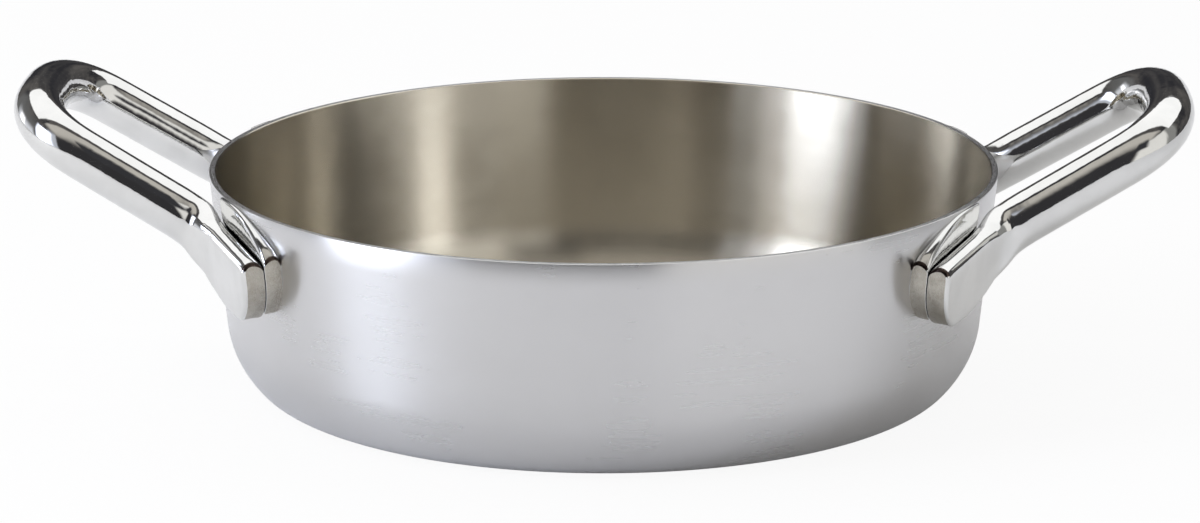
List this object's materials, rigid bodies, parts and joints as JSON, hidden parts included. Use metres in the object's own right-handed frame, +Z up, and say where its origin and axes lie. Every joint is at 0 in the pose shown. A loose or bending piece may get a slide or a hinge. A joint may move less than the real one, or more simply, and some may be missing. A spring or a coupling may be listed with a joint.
{
  "type": "saucepan",
  "caption": "Low round clad-steel saucepan with a curved heel and upswept bent-bar loop handles welded to brackets on its flared wall.",
  "frame": {"origin": "centre of the base's underside", "axes": "+Z up along the pan's axis, +X towards the right handle, -Y towards the side that the picture shows"},
  "size_m": [0.3564, 0.24, 0.0945],
  "materials": {
    "inner_steel": "satin",
    "core_aluminium": "satin",
    "outer_steel": "satin",
    "handle_steel": "polished",
    "bracket_steel": "polished",
    "weld_metal": "matte"
  },
  "bodies": {
    "root": {"inner_ply": "inner_steel", "core_ply": "core_aluminium", "outer_ply": "outer_steel", "left_handle": "handle_steel", "right_handle": "handle_steel", "left_front_bracket": "bracket_steel", "left_rear_bracket": "bracket_steel", "right_front_bracket": "bracket_steel", "right_rear_bracket": "bracket_steel", "left_front_weld_spots": "weld_metal", "left_rear_weld_spots": "weld_metal", "right_front_weld_spots": "weld_metal", "right_rear_weld_spots": "weld_metal"}
  },
  "joints": []
}
